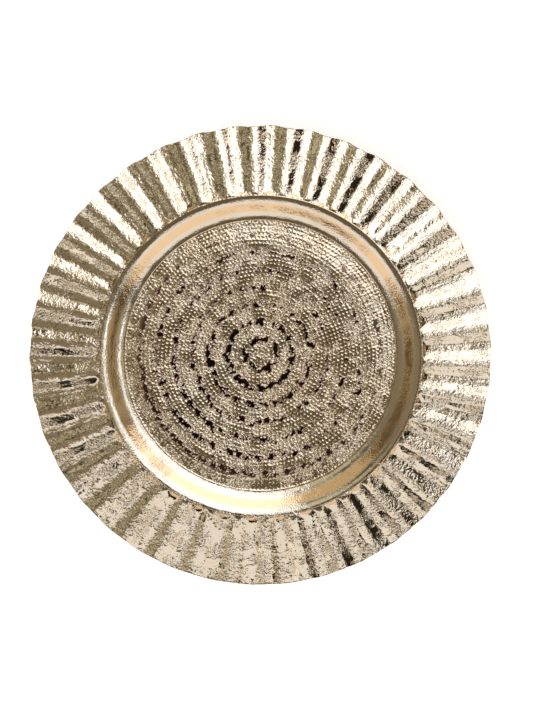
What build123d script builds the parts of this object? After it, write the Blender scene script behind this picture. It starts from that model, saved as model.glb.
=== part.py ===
"""Fluted brass tray, in millimetres.

The origin is the middle of the plane the tray stands on, and +Z is up through its centre.
From the outside in, the tray is a fluted rim ring, a spun pan whose flange the rim is soldered
to and whose centre is raised, an embossed floor sheet lying on the pan, a foot ring under the
flange, and felt pads under the foot ring. The shoulder of the pan falls from the edge of the
floor sheet to the flange, so the flange lies in a groove between the floor and the flutes.
"""
import os
from math import cos, pi, radians, sin, sqrt, tan

from build123d import *

# Sheet and pad thicknesses
RIM_SHEET = 1.0
PAN_SHEET = 1.0
FLOOR_SHEET = 0.8
PAD_THICKNESS = 1.0

# Plan radii
RIM_RADIUS = 165.0
COLLAR_INNER_RADIUS = 117.5      # the rim's inner edge, the seam seen from above
FLUTE_START_RADIUS = 118.3       # where the flat collar ends and the flutes rise
FLUTE_RUN_RADIUS = 122.7         # where the rounded flute ends have become straight flutes
FLANGE_RADIUS = 126.5            # the pan's flange reaches this far under the collar
SHOULDER_FOOT_RADIUS = 116.7
FLOOR_RADIUS = 98.8              # edge of the floor sheet, and the top of the shoulder
BORDER_START_RADIUS = 80.0       # where the floor begins to rise to its edge
FOOT_OUTER_RADIUS = 126.0
FOOT_INNER_RADIUS = 117.0

# Heights
FOOT_HEIGHT = 3.0
SHOULDER_HEIGHT = 5.0            # from the flange up to the edge of the floor
BORDER_RISE = 2.0                # of the floor's border, above the dished middle
FLOOR_SAG = 1.6                  # of the dished middle, measured across the whole floor

# Middle control points of the shoulder's curve
SHOULDER_RADII = (104.7, 110.8)

# Flutes: valleys and ridges alternate around the rim and both run straight out
FLUTE_COUNT = 38
FIRST_VALLEY_ANGLE = radians(6.6)
VALLEY_SLOPE = tan(radians(20.0))
INNER_FLUTE_HEIGHT = 3.0         # ridge above valley where the straight flutes begin
OUTER_FLUTE_HEIGHT = 4.8         # ridge above valley at the cut edge
FLUTE_END_RADII = (119.0, 120.1)  # middle rows that shape the rounded inner ends
FLUTE_END_LIFT = 0.35            # share of the flute's height reached by the first of them
CONTROLS_PER_FLANK = 8           # control points from valley to ridge: half low, half high

# Felt pads
PAD_COUNT = 4
PAD_RADIUS = 4.0
FIRST_PAD_ANGLE = 45.0

# Levels worked out from the above
FLANGE_TOP = PAD_THICKNESS + FOOT_HEIGHT + PAN_SHEET
COLLAR_TOP = FLANGE_TOP + RIM_SHEET
SHOULDER_TOP = FLANGE_TOP + SHOULDER_HEIGHT
SAG_SPHERE_RADIUS = (FLOOR_RADIUS**2 + FLOOR_SAG**2) / (2 * FLOOR_SAG)


def dish_height(radius):
    """Height of the pan's dished middle."""
    lowest = SHOULDER_TOP - BORDER_RISE - FLOOR_SAG
    return lowest + SAG_SPHERE_RADIUS - sqrt(SAG_SPHERE_RADIUS**2 - radius**2)


def rim_zones():
    """Rows of the rim's top surface, as (radius, valley height, ridge height), in three zones."""
    first_radius, second_radius = FLUTE_END_RADII
    last_step = FLUTE_RUN_RADIUS - second_radius
    run_valley = COLLAR_TOP + VALLEY_SLOPE * last_step
    run_ridge = run_valley + INNER_FLUTE_HEIGHT
    edge_valley = run_valley + VALLEY_SLOPE * (RIM_RADIUS - FLUTE_RUN_RADIUS)
    edge_ridge = edge_valley + OUTER_FLUTE_HEIGHT
    ridge_slope = (edge_ridge - run_ridge) / (RIM_RADIUS - FLUTE_RUN_RADIUS)
    first_ridge = COLLAR_TOP + FLUTE_END_LIFT * INNER_FLUTE_HEIGHT

    collar_edge = (FLUTE_START_RADIUS, COLLAR_TOP, COLLAR_TOP)
    run_start = (FLUTE_RUN_RADIUS, run_valley, run_ridge)
    return [
        [(COLLAR_INNER_RADIUS, COLLAR_TOP, COLLAR_TOP), collar_edge],
        [
            collar_edge,
            (first_radius, COLLAR_TOP, first_ridge),
            (second_radius, COLLAR_TOP, run_ridge - ridge_slope * last_step),
            run_start,
        ],
        [run_start, (RIM_RADIUS, edge_valley, edge_ridge)],
    ]


def flank_row(radius, start_height, end_height, start_angle):
    """Control points of one flank at one radius, level at both of its ends."""
    step = pi / FLUTE_COUNT / (CONTROLS_PER_FLANK - 1)
    points = []
    for index in range(CONTROLS_PER_FLANK):
        angle = start_angle + index * step
        height = start_height if index < CONTROLS_PER_FLANK / 2 else end_height
        points.append((radius * cos(angle), radius * sin(angle), height))
    return points


def lowered(points):
    """The same points on the underside of the rim's sheet."""
    return [(x, y, z - RIM_SHEET) for x, y, z in points]


def flank_faces(start_angle, rising):
    """All faces of one flank: top, underside, inner edge and cut outer edge."""
    faces = []
    edge_rows = []
    for zone in rim_zones():
        rows = []
        for radius, valley, ridge in zone:
            ends = (valley, ridge) if rising else (ridge, valley)
            rows.append(flank_row(radius, *ends, start_angle))
        faces.append(Face.make_bezier_surface(rows))
        faces.append(Face.make_bezier_surface([lowered(row) for row in rows]))
        edge_rows += [rows[0], rows[-1]]
    for row in (edge_rows[0], edge_rows[-1]):
        faces.append(Face.make_bezier_surface([row, lowered(row)]))
    return faces


def make_fluted_rim():
    """Pressed ring of sheet with straight radial flutes and a plain cut edge."""
    faces = []
    for flute in range(FLUTE_COUNT):
        valley_angle = FIRST_VALLEY_ANGLE + flute * 2 * pi / FLUTE_COUNT
        faces += flank_faces(valley_angle, rising=True)
        faces += flank_faces(valley_angle + pi / FLUTE_COUNT, rising=False)
    return Solid(Shell(faces))


def curve(*outline):
    """Bezier curve in section, from its (radius, height) control points."""
    return Edge.make_bezier(*[(radius, 0, height) for radius, height in outline])


def floor_edges(lift):
    """Section of the dished floor and its raised border, from the axis out, at a lift."""
    radii = [part * BORDER_START_RADIUS for part in (0, 0.5, 1)]
    arc = [(radius, 0, dish_height(radius) + lift) for radius in radii]
    third = (FLOOR_RADIUS - BORDER_START_RADIUS) / 3
    low = dish_height(BORDER_START_RADIUS) + lift
    high = SHOULDER_TOP + lift
    border = curve((BORDER_START_RADIUS, low), (BORDER_START_RADIUS + third, low),
                   (FLOOR_RADIUS - third, high), (FLOOR_RADIUS, high))
    return [Edge.make_three_point_arc(*arc), border]


def shoulder_edge():
    """Section of the shoulder, level at its top and where it meets the flange."""
    first, second = SHOULDER_RADII
    return curve((FLOOR_RADIUS, SHOULDER_TOP), (first, SHOULDER_TOP),
                 (second, FLANGE_TOP), (SHOULDER_FOOT_RADIUS, FLANGE_TOP))


def sheet_of_revolution(edges, thickness):
    """Sheet spun from its top edges in section, given from the axis out, and their lowered copies."""
    lowered_edges = [edge.moved(Location((0, 0, -thickness))) for edge in edges]
    ends = [Edge.make_line(edges[-1] @ 1, lowered_edges[-1] @ 1),
            Edge.make_line(lowered_edges[0] @ 0, edges[0] @ 0)]
    return revolve(Face(Wire(edges + lowered_edges + ends)), Axis.Z)


def make_centre_pan():
    """Spun pan: dished centre with a raised border, shoulder and flat flange."""
    shoulder = shoulder_edge()
    flange = Edge.make_line(shoulder @ 1, (FLANGE_RADIUS, 0, FLANGE_TOP))
    return sheet_of_revolution(floor_edges(0) + [shoulder, flange], PAN_SHEET)


def make_floor_disc():
    """Embossed sheet that lies on the pan, out to the top of the shoulder."""
    return sheet_of_revolution(floor_edges(FLOOR_SHEET), FLOOR_SHEET)


def disc(radius, bottom, height):
    """Upright round disc about the tray's axis."""
    return Pos(0, 0, bottom) * extrude(Circle(radius), height)


def make_foot_ring():
    """Flat ring under the flange."""
    outside = disc(FOOT_OUTER_RADIUS, PAD_THICKNESS, FOOT_HEIGHT)
    return outside - disc(FOOT_INNER_RADIUS, PAD_THICKNESS, FOOT_HEIGHT)


def make_pads():
    """Round felt pads, evenly spaced under the foot ring."""
    mid_radius = (FOOT_OUTER_RADIUS + FOOT_INNER_RADIUS) / 2
    pad = Pos(mid_radius, 0, 0) * disc(PAD_RADIUS, 0, PAD_THICKNESS)
    pads = {}
    for index in range(PAD_COUNT):
        angle = FIRST_PAD_ANGLE + index * 360 / PAD_COUNT
        pads[f"felt_pad_{index + 1}"] = Rot(0, 0, angle) * pad
    return pads


os.makedirs("parts", exist_ok=True)
nodes = {
    "fluted_rim": make_fluted_rim(),
    "centre_pan": make_centre_pan(),
    "floor_disc": make_floor_disc(),
    "foot_ring": make_foot_ring(),
    **make_pads(),
}
for name, shape in nodes.items():
    export_step(shape, f"parts/{name}.step")
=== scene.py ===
"""Looks of the fluted brass tray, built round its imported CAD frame. Lengths are in metres."""
from math import cos, pi, radians, sin, tan

import bpy
import numpy as np
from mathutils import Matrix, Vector


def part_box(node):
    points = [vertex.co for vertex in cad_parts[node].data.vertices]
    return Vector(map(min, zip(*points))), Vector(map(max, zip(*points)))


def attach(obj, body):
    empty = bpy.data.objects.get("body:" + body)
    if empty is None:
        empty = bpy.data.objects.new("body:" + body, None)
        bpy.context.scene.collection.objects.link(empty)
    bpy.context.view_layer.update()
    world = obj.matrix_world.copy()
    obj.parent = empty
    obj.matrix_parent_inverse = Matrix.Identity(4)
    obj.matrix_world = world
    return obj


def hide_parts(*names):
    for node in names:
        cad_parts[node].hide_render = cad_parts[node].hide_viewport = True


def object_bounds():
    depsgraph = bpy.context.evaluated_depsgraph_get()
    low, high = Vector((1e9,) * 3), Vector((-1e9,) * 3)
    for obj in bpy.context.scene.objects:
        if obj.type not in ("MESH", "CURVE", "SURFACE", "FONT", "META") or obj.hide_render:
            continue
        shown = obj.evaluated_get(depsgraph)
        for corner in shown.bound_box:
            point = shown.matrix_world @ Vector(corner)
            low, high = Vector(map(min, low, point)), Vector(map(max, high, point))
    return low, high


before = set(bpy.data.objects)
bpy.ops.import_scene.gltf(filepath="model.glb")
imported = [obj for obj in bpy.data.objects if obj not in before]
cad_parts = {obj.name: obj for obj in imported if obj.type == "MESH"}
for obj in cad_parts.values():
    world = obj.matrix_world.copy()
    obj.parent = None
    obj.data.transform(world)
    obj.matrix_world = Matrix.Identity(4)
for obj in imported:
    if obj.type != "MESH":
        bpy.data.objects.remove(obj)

MM = 0.001
CAD_BOX = [list(corner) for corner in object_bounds()]

# ---------------------------------------------------------------- sizes of the tray
PAN_LOW, PAN_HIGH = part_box("centre_pan")

RIM_RADIUS = 165.0 * MM
COLLAR_INNER_RADIUS = 117.5 * MM
FLUTE_START_RADIUS = 118.3 * MM
FLUTE_RUN_RADIUS = 122.7 * MM
FLUTE_END_RADII = (119.0 * MM, 120.1 * MM)
FLUTE_END_LIFT = 0.35
FLANGE_RADIUS = PAN_HIGH[0]
SHOULDER_FOOT_RADIUS = 116.7 * MM
SHOULDER_RADII = (104.7 * MM, 110.8 * MM)
FLOOR_RADIUS = 98.8 * MM
BORDER_START_RADIUS = 80.0 * MM

FLUTE_COUNT = 38
FIRST_VALLEY_ANGLE = radians(6.6)
VALLEY_SLOPE = tan(radians(20.0))
INNER_FLUTE_HEIGHT = 3.0 * MM
OUTER_FLUTE_HEIGHT = 4.8 * MM

RIM_SHEET = 1.0 * MM
PAN_SHEET = 1.0 * MM
FLOOR_SHEET = 0.8 * MM
BORDER_RISE = 2.0 * MM
FLOOR_SAG = 1.6 * MM
FLANGE_TOP = PAN_LOW[2] + PAN_SHEET
COLLAR_TOP = FLANGE_TOP + RIM_SHEET
SHOULDER_TOP = PAN_HIGH[2]
SAG_SPHERE_RADIUS = (FLOOR_RADIUS ** 2 + FLOOR_SAG ** 2) / (2 * FLOOR_SAG)


# ---------------------------------------------------------------- mesh helpers
WAVE_COUNT = 48
CURVE_STEPS = 60


def waves(seed, x, y, shortest, longest):
    """Smooth random waves over a plane, about 1 at their highest, with lengths in a given range."""
    rng = np.random.default_rng(seed)
    total = np.zeros_like(x)
    for _ in range(WAVE_COUNT):
        length = longest * (shortest / longest) ** rng.random()
        heading, phase = rng.random(2) * 2 * pi
        total += np.sin(2 * pi * (x * cos(heading) + y * sin(heading)) / length + phase)
    return total / np.sqrt(WAVE_COUNT) / 2


def uneven(x, y, layers):
    """Sum of layers of waves, each given as its height, seed, shortest length and longest length."""
    return sum(height * waves(seed, x, y, shortest, longest)
               for height, seed, shortest, longest in layers)


def bezier(values, count=CURVE_STEPS):
    """Points along a cubic Bezier curve, for one coordinate."""
    t = np.linspace(0, 1, count)
    weights = ((1 - t) ** 3, 3 * t * (1 - t) ** 2, 3 * t ** 2 * (1 - t), t ** 3)
    return sum(weight * value for weight, value in zip(weights, values))


def smooth_step(value, low, high):
    """0 below low, 1 above high and a smooth blend between."""
    t = np.clip((value - low) / (high - low), 0, 1)
    return t * t * (3 - 2 * t)


def make_piece(name, points, quads, triangles=()):
    """New smooth-shaded mesh object from an array of points and lists of corner indices."""
    mesh = bpy.data.meshes.new(name)
    mesh.from_pydata(points.tolist(), [], quads.tolist() + [list(t) for t in triangles])
    mesh.polygons.foreach_set("use_smooth", [True] * len(mesh.polygons))
    mesh.update()
    piece = bpy.data.objects.new(name, mesh)
    bpy.context.scene.collection.objects.link(piece)
    return piece


def ring_quads(rows, columns, closed_rows):
    """Quads of a grid of rows whose columns run all the way round."""
    row = np.arange(rows if closed_rows else rows - 1)[:, None]
    column = np.arange(columns)[None, :]
    next_row = (row + 1) % rows
    next_column = (column + 1) % columns
    corners = [row * columns + column, next_row * columns + column,
               next_row * columns + next_column, row * columns + next_column]
    return np.stack(np.broadcast_arrays(*corners), -1).reshape(-1, 4)


# ---------------------------------------------------------------- fluted rim
RIM_STEPS_PER_FLUTE = 30
RIM_TOP_ROWS = 64
RIM_UNDER_ROWS = 9
RIM_END_ROWS = 14                # of the top rows, those over the collar and the flutes' ends
RIM_UNDER_END_ROWS = 6           # the same for the rows underneath
EDGE_ROUND = 0.22 * MM
RIM_DENTS = ((0.10 * MM, 3, 9 * MM, 30 * MM), (0.05 * MM, 4, 2.5 * MM, 7 * MM))


def flank_share(angle):
    """How far up its flank the rim is at an angle: 0 in a valley, 1 on a ridge."""
    turn = (angle - FIRST_VALLEY_ANGLE) * FLUTE_COUNT / (2 * pi)
    t = 1 - np.abs(2 * (turn % 1) - 1)
    # The blend that a flank with four low and four high control points has in the CAD
    return t ** 4 * (35 - 84 * t + 70 * t ** 2 - 20 * t ** 3)


def rim_profile(radius):
    """Heights of the rim's top in a valley and on a ridge, at each radius."""
    first, second = FLUTE_END_RADII
    last_step = FLUTE_RUN_RADIUS - second
    run_valley = COLLAR_TOP + VALLEY_SLOPE * last_step
    run_length = RIM_RADIUS - FLUTE_RUN_RADIUS
    ridge_slope = VALLEY_SLOPE + (OUTER_FLUTE_HEIGHT - INNER_FLUTE_HEIGHT) / run_length
    run_ridge = run_valley + INNER_FLUTE_HEIGHT
    end_ridge = [COLLAR_TOP, COLLAR_TOP + FLUTE_END_LIFT * INNER_FLUTE_HEIGHT,
                 run_ridge - ridge_slope * last_step, run_ridge]
    end_valley = [COLLAR_TOP, COLLAR_TOP, COLLAR_TOP, run_valley]
    end_radius = [FLUTE_START_RADIUS, first, second, FLUTE_RUN_RADIUS]

    curve_radius, curve_valley, curve_ridge = map(bezier, (end_radius, end_valley, end_ridge))
    beyond = np.clip(radius - FLUTE_RUN_RADIUS, 0, None)
    valley = np.interp(radius, curve_radius, curve_valley) + VALLEY_SLOPE * beyond
    ridge = np.interp(radius, curve_radius, curve_ridge) + ridge_slope * beyond
    return valley, ridge


def rim_height(radius, angle):
    """Top of the rim, with the small unevenness of pressed sheet."""
    valley, ridge = rim_profile(radius)
    height = valley + (ridge - valley) * flank_share(angle)
    x, y = radius * np.cos(angle), radius * np.sin(angle)
    ramp = smooth_step(radius, FLUTE_START_RADIUS, FLUTE_RUN_RADIUS)
    return height + ramp * uneven(x, y, RIM_DENTS)


def make_rim():
    """Closed sheet ring: fluted top, cut edges with slightly rounded corners, plain underside."""
    columns = FLUTE_COUNT * RIM_STEPS_PER_FLUTE
    inner, outer = COLLAR_INNER_RADIUS, RIM_RADIUS
    ends = np.linspace(inner + EDGE_ROUND, FLUTE_RUN_RADIUS, RIM_END_ROWS)
    run = np.linspace(FLUTE_RUN_RADIUS, outer - EDGE_ROUND, RIM_TOP_ROWS - RIM_END_ROWS + 1)
    top = [(radius, 0.0) for radius in np.concatenate([ends, run[1:]])]
    corner = EDGE_ROUND * (1 - cos(radians(45)))
    outer_edge = [(outer - corner, corner), (outer, EDGE_ROUND), (outer, RIM_SHEET - EDGE_ROUND),
                  (outer - corner, RIM_SHEET - corner)]
    run = np.linspace(outer - EDGE_ROUND, FLUTE_RUN_RADIUS, RIM_UNDER_ROWS - RIM_UNDER_END_ROWS + 1)
    ends = np.linspace(FLUTE_RUN_RADIUS, inner + EDGE_ROUND, RIM_UNDER_END_ROWS)
    under = [(radius, RIM_SHEET) for radius in np.concatenate([run, ends[1:]])]
    inner_edge = [(inner + corner, RIM_SHEET - corner), (inner, RIM_SHEET - EDGE_ROUND),
                  (inner, EDGE_ROUND), (inner + corner, corner)]
    section = np.array(top + outer_edge + under + inner_edge)
    radius, drop = section[:, :1], section[:, 1:]
    angle = np.arange(columns)[None, :] * 2 * pi / columns
    radius = np.broadcast_to(radius, (len(section), columns))
    height = rim_height(radius, angle) - drop
    points = np.stack([radius * np.cos(angle), radius * np.sin(angle), height], -1).reshape(-1, 3)
    return make_piece("fluted_rim_sheet", points, ring_quads(len(section), columns, True))


# ---------------------------------------------------------------- centre pan
PAN_COLUMNS = 720
SHOULDER_ROWS = 44
DISH_ROWS = 6
BORDER_ROWS = 10
PAN_FIRST_RADIUS = 10 * MM       # of the innermost ring of points, which a fan closes
SPIN_WAVES = ((0.03 * MM, 11, 5 * MM, 25 * MM),)
SPIN_FADE = 3 * MM               # the waves fade out over this at both edges of the shoulder


def panel_height(radius):
    """Top of the pan under the floor sheet: dished, with a raised border."""
    sag = SAG_SPHERE_RADIUS - np.sqrt(SAG_SPHERE_RADIUS ** 2 - radius ** 2)
    border = smooth_step(radius, BORDER_START_RADIUS, FLOOR_RADIUS)
    return SHOULDER_TOP - BORDER_RISE - FLOOR_SAG + sag + BORDER_RISE * border


def pan_section():
    """Top of the pan in section, from near the axis out to the flange's edge."""
    dish = np.linspace(PAN_FIRST_RADIUS, BORDER_START_RADIUS, DISH_ROWS)
    border = np.linspace(BORDER_START_RADIUS, FLOOR_RADIUS, BORDER_ROWS)
    radius = np.concatenate([dish, border[1:]])
    panel = list(zip(radius, panel_height(radius)))
    along = bezier((FLOOR_RADIUS, *SHOULDER_RADII, SHOULDER_FOOT_RADIUS), SHOULDER_ROWS)
    down = bezier((SHOULDER_TOP, SHOULDER_TOP, FLANGE_TOP, FLANGE_TOP), SHOULDER_ROWS)
    return panel + list(zip(along, down))[1:] + [(FLANGE_RADIUS, FLANGE_TOP)]


def make_pan():
    """Closed spun sheet, with the faint waves that spinning leaves in its shoulder."""
    top = pan_section()
    under = [(radius, height - PAN_SHEET) for radius, height in reversed(top)]
    section = np.array(top + under)
    angle = np.arange(PAN_COLUMNS)[None, :] * 2 * pi / PAN_COLUMNS
    radius = np.broadcast_to(section[:, :1], (len(section), PAN_COLUMNS))
    x, y = radius * np.cos(angle), radius * np.sin(angle)
    past_top = smooth_step(radius, FLOOR_RADIUS, FLOOR_RADIUS + SPIN_FADE)
    near_foot = smooth_step(radius, SHOULDER_FOOT_RADIUS - SPIN_FADE, SHOULDER_FOOT_RADIUS)
    height = section[:, 1:] + past_top * (1 - near_foot) * uneven(x, y, SPIN_WAVES)
    points = np.stack([x, y, height], -1).reshape(-1, 3)
    quads = ring_quads(len(section), PAN_COLUMNS, False)
    top_centre, under_centre = len(points), len(points) + 1
    middle = panel_height(0.0)
    points = np.vstack([points, [0, 0, middle], [0, 0, middle - PAN_SHEET]])
    last_row = (len(section) - 1) * PAN_COLUMNS
    fans = []
    for column in range(PAN_COLUMNS):
        after = (column + 1) % PAN_COLUMNS
        fans.append((top_centre, column, after))
        fans.append((under_centre, last_row + after, last_row + column))
    return make_piece("centre_pan_sheet", points, quads, fans)


# ---------------------------------------------------------------- embossed floor
FLOOR_GRID = 298
# Radii of the rows underneath, as shares of the floor's radius
UNDER_SHARES = (1, 0.97, 0.94, 0.91, 0.88, 0.84, 0.8, 0.5)
FLOOR_EDGE_WIDTH = 3 * EDGE_ROUND
RIPPLE_PITCH = 12.75 * MM
RIPPLE_OFFSET = 0.87
RIPPLE_HEIGHT = 0.05 * MM
RIPPLE_END = (0.9 * BORDER_START_RADIUS, 0.95 * FLOOR_RADIUS)
BEAD_PITCH = 2.9 * MM
BEAD_SPACING = 2.8 * MM
BEAD_RADIUS = 1.45 * MM
BEAD_HEIGHT = 0.06 * MM          # in the mesh
BEAD_BUMP = 0.12 * MM            # added by the material
ROW_WANDER = 0.35 * MM
ROW_WANDER_REACH = 11.0 * MM
ROW_WANDERS_ROUND = 5
RING_TURN = 0.618034             # of a bead's spacing, from each ring of beads to the next

# Bare patches, smooth and painted dark as a painted reflection: how much each thing counts, and the
# levels between which a patch begins
PATCH_RINGS = 0.85
PATCH_MIDDLE_RINGS = 0.15        # added to the rings in the floor's middle
PATCH_MIDDLE = 0.35              # more patches in the middle
PATCH_SIDE = 0.3                 # fewer towards the back right, so less painted dark reflection there
PATCH_RAGGED = ((1.35, 21, 4 * MM, 22 * MM), (0.8, 22, 1.8 * MM, 3.6 * MM))
PATCH_LEVELS = (0.88, 1.02)
MIDDLE_END = (20 * MM, 55 * MM)
PATCH_END = (0.88 * FLOOR_RADIUS, 0.94 * FLOOR_RADIUS)


def bead_height(x, y, maths):
    """Rings of small round beads, 0 between them and 1 on each top, by numpy or by shader nodes."""
    radius = maths.sqrt(x * x + y * y)
    angle = maths.arctan2(y, x)
    reach = radius + ROW_WANDER * maths.sin(ROW_WANDERS_ROUND * angle + radius / ROW_WANDER_REACH)
    ring = maths.floor(reach / BEAD_PITCH)
    ring_radius = (ring + 0.5) * BEAD_PITCH
    beads = maths.round(ring_radius * (2 * pi / BEAD_SPACING))
    along = angle * beads / (2 * pi) + ring * RING_TURN
    aside = (along - maths.floor(along) - 0.5) * ring_radius * (2 * pi) / beads
    outward = reach - ring_radius
    dome = maths.maximum(1 - (outward * outward + aside * aside) / BEAD_RADIUS ** 2, 0.0)
    return dome * dome


def ring_wave(radius):
    """The slow wave of the floor from its middle outward, 1 on each ring of bare patches."""
    return np.cos(2 * pi * (radius / RIPPLE_PITCH - RIPPLE_OFFSET))


def bare_patches(x, y):
    """1 in the broken arcs that the hammering left smooth, and 0 elsewhere. The floor's material paints
    these arcs dark, as a painted reflection.
    """
    radius = np.hypot(x, y)
    middle = 1 - smooth_step(radius, *MIDDLE_END)
    side = (x + y) / FLOOR_RADIUS
    ragged = uneven(x, y, PATCH_RAGGED)
    rings = (PATCH_RINGS + PATCH_MIDDLE_RINGS * middle) * ring_wave(radius) + PATCH_MIDDLE * middle
    level = rings + ragged - PATCH_SIDE * side
    return smooth_step(level, *PATCH_LEVELS) * (1 - smooth_step(radius, *PATCH_END))


def floor_height(x, y):
    """Top of the floor sheet: the pan's shape with ripples, beads and an eased edge."""
    radius = np.hypot(x, y)
    ripple = ring_wave(radius) * (1 - smooth_step(radius, *RIPPLE_END))
    beads = bead_height(x, y, np) * (1 - bare_patches(x, y))
    eased = EDGE_ROUND * smooth_step(radius, FLOOR_RADIUS - FLOOR_EDGE_WIDTH, FLOOR_RADIUS)
    return panel_height(radius) + FLOOR_SHEET + RIPPLE_HEIGHT * ripple + BEAD_HEIGHT * beads - eased


def disc_grid(count):
    """Square grid of points bent into a unit disc with an even spacing."""
    line = np.linspace(-1, 1, count)
    a, b = np.meshgrid(line, line, indexing="ij")
    wide = np.abs(a) > np.abs(b)
    safe_a, safe_b = np.where(a == 0, 1, a), np.where(b == 0, 1, b)
    radius = np.where(wide, a, b)
    angle = np.where(wide, pi / 4 * b / safe_a, pi / 2 - pi / 4 * a / safe_b)
    return radius * np.cos(angle), radius * np.sin(angle)


def make_floor():
    """Closed sheet whose top carries the embossing and whose underside lies on the pan."""
    count = FLOOR_GRID
    x, y = (FLOOR_RADIUS * part for part in disc_grid(count))
    top = np.stack([x, y, floor_height(x, y)], -1).reshape(-1, 3)
    index = np.arange(count * count).reshape(count, count)
    quads = np.stack([index[:-1, :-1], index[1:, :-1], index[1:, 1:], index[:-1, 1:]], -1).reshape(-1, 4)
    border = np.concatenate([index[:-1, 0], index[-1, :-1], index[:0:-1, -1], index[0, :0:-1]])
    size = len(border)
    rows = [top[border, :2] * share for share in UNDER_SHARES]
    under = np.vstack([np.column_stack([row, panel_height(np.hypot(*row.T))]) for row in rows])
    points = np.vstack([top, under, [0, 0, panel_height(0.0)]])

    step = np.arange(size)
    after = (step + 1) % size
    row_starts = count * count + size * np.arange(len(UNDER_SHARES))
    skirt = [np.stack([border[after], border, row_starts[0] + step, row_starts[0] + after], -1)]
    for start, following in zip(row_starts, row_starts[1:]):
        skirt.append(np.stack([start + after, start + step, following + step, following + after], -1))
    last = row_starts[-1]
    fans = [(len(points) - 1, last + b, last + a) for a, b in zip(step, after)]
    piece = make_piece("embossed_floor", points, np.vstack([quads, *skirt]), fans)

    # 0 in the bare patches, where the floor's material leaves out the beads and paints a painted dark
    # reflection
    struck_not_painted_dark = np.ones(len(points), dtype=np.float32)
    struck_not_painted_dark[:count * count] -= bare_patches(x, y).ravel()
    piece.data.attributes.new("struck_not_painted_dark", "FLOAT", "POINT").data.foreach_set("value", struck_not_painted_dark)
    return piece


# ---------------------------------------------------------------- shader helpers
MIX_INPUTS = (0, 6, 7)           # the sockets of a colour blend: its share and its two colours
MIX_OUTPUT = 2


class Graph:
    """Short way to add and join shader nodes in one tree."""

    def __init__(self, tree):
        self.tree = tree
        tree.nodes.clear()

    def node(self, kind, settings=None, **inputs):
        """Add a node; inputs are named, with spaces written as underscores."""
        made = self.tree.nodes.new(kind)
        for name, value in (settings or {}).items():
            setattr(made, name, value)
        for name, value in inputs.items():
            self.feed(made, name.replace("_", " "), value)
        return made

    def feed(self, node, name, value):
        """Give a socket, by name or number, a value or a link."""
        socket = node.inputs[name]
        if isinstance(value, Term):
            value = value.socket
        if isinstance(value, bpy.types.NodeSocket):
            self.tree.links.new(value, socket)
        else:
            socket.default_value = value

    def math(self, operation, *values):
        """Result of one piece of arithmetic."""
        made = self.node("ShaderNodeMath", {"operation": operation})
        for number, value in enumerate(values):
            self.feed(made, number, value)
        return Term(self, made.outputs[0])

    def split(self, vector):
        """The three parts of a vector."""
        made = self.node("ShaderNodeSeparateXYZ", Vector=vector)
        return [Term(self, socket) for socket in made.outputs]

    def noise(self, place, scale, detail=2.0, roughness=0.5):
        """Plain noise value."""
        made = self.node("ShaderNodeTexNoise", Vector=place, Scale=scale, Detail=detail,
                         Roughness=roughness)
        return Term(self, made.outputs[0])

    def span(self, value, low, high, new_low, new_high):
        """Value moved smoothly from one range to another."""
        made = self.node("ShaderNodeMapRange", {"interpolation_type": "SMOOTHSTEP"},
                         Value=value, From_Min=low, From_Max=high, To_Min=new_low, To_Max=new_high)
        return Term(self, made.outputs["Result"])

    def mix(self, share, first, second):
        """Blend of two colours."""
        made = self.node("ShaderNodeMix", {"data_type": "RGBA"})
        for number, value in zip(MIX_INPUTS, (share, first, second)):
            self.feed(made, number, value)
        return made.outputs[MIX_OUTPUT]

    def bump(self, height):
        """Normal of a surface raised by a height in metres."""
        made = self.node("ShaderNodeBump", Strength=1.0, Distance=1.0, Height=height)
        return made.outputs["Normal"]


class Term:
    """A number in a shader graph, for writing arithmetic the plain way."""

    def __init__(self, graph, socket):
        self.graph = graph
        self.socket = socket

    def __add__(self, other):
        return self.graph.math("ADD", self, other)

    def __sub__(self, other):
        return self.graph.math("SUBTRACT", self, other)

    def __rsub__(self, other):
        return self.graph.math("SUBTRACT", other, self)

    def __mul__(self, other):
        return self.graph.math("MULTIPLY", self, other)

    def __truediv__(self, other):
        return self.graph.math("DIVIDE", self, other)

    __rmul__ = __mul__


class ShaderMaths:
    """The functions that bead_height needs, for shader terms, named as numpy names them."""

    @staticmethod
    def sqrt(value):
        return value.graph.math("SQRT", value)

    @staticmethod
    def sin(value):
        return value.graph.math("SINE", value)

    @staticmethod
    def floor(value):
        return value.graph.math("FLOOR", value)

    @staticmethod
    def round(value):
        return value.graph.math("ROUND", value)

    @staticmethod
    def arctan2(y, x):
        return y.graph.math("ARCTAN2", y, x)

    @staticmethod
    def maximum(value, least):
        return value.graph.math("MAXIMUM", value, least)


def new_material(name):
    """Empty material and the graph of its nodes."""
    material = bpy.data.materials.new(name)
    material.use_nodes = True
    return material, Graph(material.node_tree)


def finish_material(graph, shader):
    """Join a shader to the material's output."""
    output = graph.node("ShaderNodeOutputMaterial")
    graph.tree.links.new(shader.outputs["BSDF"], output.inputs["Surface"])


# ---------------------------------------------------------------- materials
PALE_BRASS = (0.93, 0.79, 0.585, 1)
DEEP_BRASS = (0.91, 0.755, 0.54, 1)
WARM_BRASS = (0.94, 0.78, 0.55, 1)
WARM_DEEP_BRASS = (0.91, 0.72, 0.48, 1)
PLAIN_BRASS = (0.80, 0.63, 0.36, 1)
DULL_BRASS = (0.62, 0.45, 0.24, 1)
FELT_BLACK = (0.020, 0.018, 0.017, 1)
FELT_GREY = (0.055, 0.05, 0.047, 1)
# Painted dark reflection of the dark camera above, put in the floor's bare patches
PAINTED_DARK_REFLECTION = (0.21, 0.11, 0.08, 1)
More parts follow.
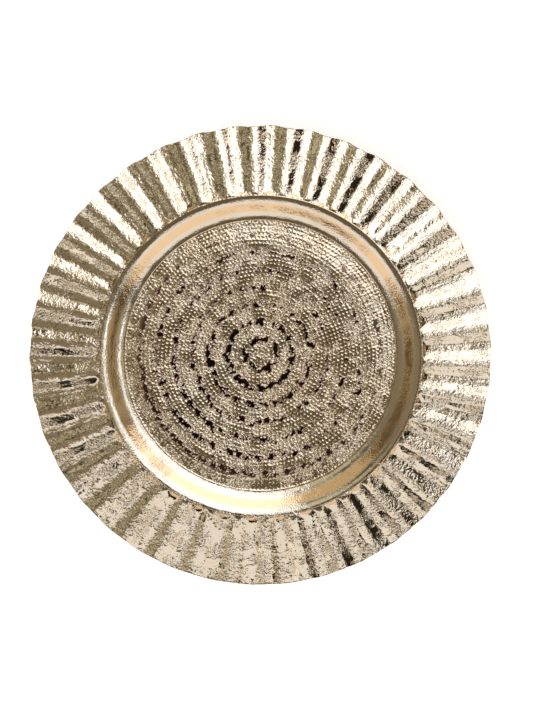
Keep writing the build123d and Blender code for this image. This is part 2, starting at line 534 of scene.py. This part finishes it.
# Painted reflection: the warm gold band the shoulder shows where it mirrors the flutes' metal a second
# time
PAINTED_REFLECTION_GOLD = (0.98, 0.67, 0.37, 1)
PAINTED_REFLECTION_BAND = (104.8 * MM, 111.2 * MM)
PAINTED_REFLECTION_EDGE = 0.5 * MM
CREST_GRAIN = 0.5                # share of the rim's grain on its crests and in its valleys
FLANK_GRAIN = 0.6                # added to it on the flanks

# Noises, each as its scale, detail and roughness or the first of these
DRIFT_NOISE = (28.0, 3.0)
BLOTCH_NOISE = (90.0, 2.0)
POLISH_NOISE = (160.0, 4.0, 0.6)
PAINTED_REFLECTION_EDGE_NOISE = (700.0,)
FIBRE_NOISE = (2600.0, 6.0, 0.7)
CLUMP_NOISE = (500.0, 3.0)
GRAIN_TEXTURE = (1.5, 0.55)      # detail and roughness, as the grain's size sets its scale

# Ranges of a noise that are used, and what they turn into
NOISE_RANGE = (0.35, 0.65)
POLISH_RANGE = (0.3, 0.7)
BLOTCH_DEPTHS = (0.3, 1.5)
POLISH_SHARES = (0.7, 1.3)       # of a metal's roughness

FELT_DEPTH = 0.12 * MM           # of the felt's fibres


def object_place(graph):
    """Place on the tray, in metres."""
    return graph.node("ShaderNodeTexCoord").outputs["Object"]


def brass_material(name, grain_size, grain_depth, rough, light=PALE_BRASS, deep=DEEP_BRASS,
                   finish=None):
    """Bright metal with slow colour drift, uneven polish and a blotchy crepe grain."""
    material, graph = new_material(name)
    place = object_place(graph)
    drift = graph.span(graph.noise(place, *DRIFT_NOISE), *NOISE_RANGE, 0.0, 1.0)
    polish = graph.noise(place, *POLISH_NOISE)
    blotches = graph.span(graph.noise(place, *BLOTCH_NOISE), *NOISE_RANGE, *BLOTCH_DEPTHS)
    colour = graph.mix(drift, light, deep)
    height = graph.noise(place, 1 / grain_size, *GRAIN_TEXTURE) * blotches * grain_depth
    if finish:
        height, colour = finish(graph, height, colour)
    smoothest, roughest = (rough * share for share in POLISH_SHARES)
    shader = graph.node("ShaderNodeBsdfPrincipled", Base_Color=colour, Metallic=1.0,
                        Roughness=graph.span(polish, *POLISH_RANGE, smoothest, roughest),
                        Normal=graph.bump(height))
    finish_material(graph, shader)
    return material


def hammered_finish(graph, grain, colour):
    """Grain and crisp beads, both left out of the bare patches, which are painted dark as a painted
    reflection of the dark camera straight above.
    """
    x, y, _ = graph.split(object_place(graph))
    struck_not_painted_dark = graph.node("ShaderNodeAttribute", {"attribute_name": "struck_not_painted_dark"}).outputs["Fac"]
    height = (bead_height(x, y, ShaderMaths) * BEAD_BUMP + grain) * Term(graph, struck_not_painted_dark)
    # The bare patches get the painted dark reflection colour
    return height, graph.mix(struck_not_painted_dark, PAINTED_DARK_REFLECTION, colour)


def crepe_finish(graph, grain, colour):
    """Grain that is deepest on the flanks of the flutes, where pressing wrinkles the sheet."""
    x, y, _ = graph.split(object_place(graph))
    turn = (ShaderMaths.arctan2(y, x) - FIRST_VALLEY_ANGLE) * FLUTE_COUNT
    steep = graph.math("ABSOLUTE", ShaderMaths.sin(turn))
    return grain * (steep * FLANK_GRAIN + CREST_GRAIN), colour


def painted_reflection_band(graph, grain, colour):
    """A warmer gold band round the shoulder: a painted reflection of the flutes' metal, seen in the
    shoulder a second time. It goes by radius, so the underside has it too.
    """
    place = object_place(graph)
    x, y, _ = graph.split(place)
    wander = graph.noise(place, *PAINTED_REFLECTION_EDGE_NOISE) * PAINTED_REFLECTION_EDGE
    radius = ShaderMaths.sqrt(x * x + y * y) + wander
    inner, outer = PAINTED_REFLECTION_BAND
    share = (graph.span(radius, inner, inner + 2 * PAINTED_REFLECTION_EDGE, 0.0, 1.0)
             * graph.span(radius, outer, outer + 2 * PAINTED_REFLECTION_EDGE, 1.0, 0.0))
    return grain, graph.mix(share, colour, PAINTED_REFLECTION_GOLD)


def felt_material():
    """Pressed black felt: matted fibres and a soft sheen."""
    material, graph = new_material("pressed_felt")
    place = object_place(graph)
    fibres = graph.noise(place, *FIBRE_NOISE)
    clumps = graph.noise(place, *CLUMP_NOISE)
    colour = graph.mix(clumps, FELT_BLACK, FELT_GREY)
    shader = graph.node("ShaderNodeBsdfPrincipled", Base_Color=colour, Roughness=0.95,
                        Sheen_Weight=0.4, Sheen_Roughness=0.5,
                        Normal=graph.bump(fibres * FELT_DEPTH))
    finish_material(graph, shader)
    return material


# ---------------------------------------------------------------- light, table and camera
OLIVE = (0.50, 0.48, 0.38)
DARK_OLIVE = (0.07, 0.065, 0.05)
DIM = (0.22, 0.19, 0.145)
GLOW = (0.52, 0.48, 0.38)
LIT_WALL = (0.34, 0.32, 0.25)
BROWN = (0.12, 0.10, 0.075)
BLACK = (0.02, 0.018, 0.015)
CREAM = (0.87, 0.88, 0.94)
WHITE = (1.4, 1.48, 1.75)
SOFT_WHITE = (1.0, 1.0, 1.0)

# Panels of the studio, later ones in front: where each stands round the tray, its half width,
# its top and bottom edges down from straight up, how soft its edges are (all in degrees), and
# its light
PANELS = [
    (15, 45, -20, 46, 9, DIM),          # dim ceiling to the right
    (306, 14, 38, 54, 6, GLOW),         # wall lit by the soft box
    (90, 58, 34, 140, 2, CREAM),        # cream card behind
    (90, 60, -20, 33, 3, BROWN),        # dim gap above it
    (42, 20, 74, 140, 2, SOFT_WHITE),   # low white strip, behind to the right
    (66, 13, 55, 84, 2, BLACK),         # gap in the cream card
    (90, 12, 60, 84, 3, BLACK),         # and another
    (240, 46, 9, 76, 2, WHITE),         # main soft box, in front to the left
    (240, 46, 76, 140, 2, SOFT_WHITE),  # its dimmer lower edge
    (174, 26, 28, 38, 3, WHITE),        # its upper wing, to the left
    (178, 24, 50, 140, 2, BLACK),       # dark doorway to the left
    (180, 30, 39, 51, 3, LIT_WALL),     # wall above the doorway
    (149, 4, 22, 64, 1, BLACK),         # seam between card and soft box
    (206, 9, 68, 140, 4, BLACK),        # stand of the soft box
    (186, 1.2, 15, 50, 0.6, BLACK),     # ribs of the soft box
    (200, 1.5, 15, 70, 0.6, BROWN),
    (222, 1.5, 15, 70, 0.6, BROWN),
    (0, 181, -20, 7, 3, BLACK),         # the camera and its stand, straight above
]


# Dim room seen between the panels
CLUTTER_NOISE = (3.5, 1.0)
CLUTTER_RANGE = (0.46, 0.54)

TABLE_HALF = 9.0
TABLE_GREY = (0.90, 0.90, 0.90, 1)
TABLE_PALE = (0.93, 0.93, 0.93, 1)
TABLE_NOISE = (6.0,)

CAMERA_ELEVATION = radians(85)
CAMERA_DISTANCE = 1.2
CAMERA_AIM = (4.45 * MM, -1.3 * MM)
CAMERA_LENS = 84.1


def panel_mask(graph, azimuth, polar, panel):
    """1 where a ray meets a panel and 0 elsewhere."""
    facing, half_width, top, bottom, soft, _ = panel
    aside = graph.math("ABSOLUTE", graph.math("WRAP", azimuth - facing, 180.0, -180.0))
    across = graph.span(aside, half_width - soft, half_width + soft, 1.0, 0.0)
    below_top = graph.span(polar, top - soft, top + soft, 0.0, 1.0)
    above_bottom = graph.span(polar, bottom - soft, bottom + soft, 1.0, 0.0)
    return across * below_top * above_bottom


def light_scene():
    """Studio of large soft panels round the tray, with dim gaps between them."""
    world = bpy.data.worlds.new("studio")
    bpy.context.scene.world = world
    world.use_nodes = True
    graph = Graph(world.node_tree)
    direction = graph.node("ShaderNodeTexCoord").outputs["Generated"]
    x, y, z = graph.split(direction)
    azimuth = graph.math("DEGREES", ShaderMaths.arctan2(y, x))
    polar = graph.math("DEGREES", graph.math("ARCCOSINE", z))
    clutter = graph.span(graph.noise(direction, *CLUTTER_NOISE), *CLUTTER_RANGE, 0.0, 1.0)
    colour = graph.mix(clutter, (*DARK_OLIVE, 1), (*OLIVE, 1))
    for panel in PANELS:
        colour = graph.mix(panel_mask(graph, azimuth, polar, panel), colour, (*panel[-1], 1))
    background = graph.node("ShaderNodeBackground", Color=colour, Strength=1.0)
    output = graph.node("ShaderNodeOutputWorld")
    graph.tree.links.new(background.outputs[0], output.inputs["Surface"])


def make_ground():
    """Pale table the tray stands on."""
    half = TABLE_HALF
    points = np.array([(-half, -half, 0), (half, -half, 0), (half, half, 0), (-half, half, 0)])
    ground = make_piece("pale_table", points, np.array([[0, 1, 2, 3]]))
    material, graph = new_material("pale_table")
    place = object_place(graph)
    colour = graph.mix(graph.noise(place, *TABLE_NOISE), TABLE_GREY, TABLE_PALE)
    shader = graph.node("ShaderNodeBsdfPrincipled", Base_Color=colour, Roughness=0.8,
                        Emission_Color=(1, 1, 1, 1), Emission_Strength=0.55)
    finish_material(graph, shader)
    ground.data.materials.append(material)


def make_camera():
    """Camera almost straight above, leaning a little to the front."""
    aim = Vector((*CAMERA_AIM, 0.5 * (CAD_BOX[0][2] + CAD_BOX[1][2])))
    data = bpy.data.cameras.new("camera")
    data.lens = CAMERA_LENS
    camera = bpy.data.objects.new("camera", data)
    back = Vector((0, -cos(CAMERA_ELEVATION), sin(CAMERA_ELEVATION)))
    camera.location = aim + back * CAMERA_DISTANCE
    camera.rotation_euler = back.to_track_quat("Z", "Y").to_euler()
    bpy.context.scene.collection.objects.link(camera)
    bpy.context.scene.camera = camera


# ---------------------------------------------------------------- the tray
PAD_COUNT = 4


def dress_node(name, material):
    """Put a better material on a CAD node that stays as it is."""
    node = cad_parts[name]
    for slot in node.material_slots:
        slot.material = material


rim_brass = brass_material("rim_brass", grain_size=1.8 * MM, grain_depth=0.68 * MM, rough=0.04,
                           finish=crepe_finish)
# The pan's shoulder carries a painted reflection band in warm gold
pan_brass = brass_material("pan_brass", grain_size=1.2 * MM, grain_depth=0.10 * MM, rough=0.12,
                           finish=painted_reflection_band)
floor_brass = brass_material("floor_brass", grain_size=1.5 * MM, grain_depth=0.48 * MM, rough=0.05,
                             light=WARM_BRASS, deep=WARM_DEEP_BRASS, finish=hammered_finish)
foot_brass = brass_material("foot_brass", grain_size=2.5 * MM, grain_depth=0.10 * MM, rough=0.30,
                            light=PLAIN_BRASS, deep=DULL_BRASS)

for piece, node, slot, material in (
        (make_rim(), "fluted_rim", "rim_brass", rim_brass),
        (make_pan(), "centre_pan", "pan_brass", pan_brass),
        (make_floor(), "floor_disc", "floor_brass", floor_brass)):
    piece.data.materials.append(material)
    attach(piece, "root")
    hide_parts(node)

felt = felt_material()
dress_node("foot_ring", foot_brass)
for index in range(PAD_COUNT):
    dress_node(f"felt_pad_{index + 1}", felt)

light_scene()
make_ground()
make_camera()
bpy.context.scene.view_settings.view_transform = "Standard"
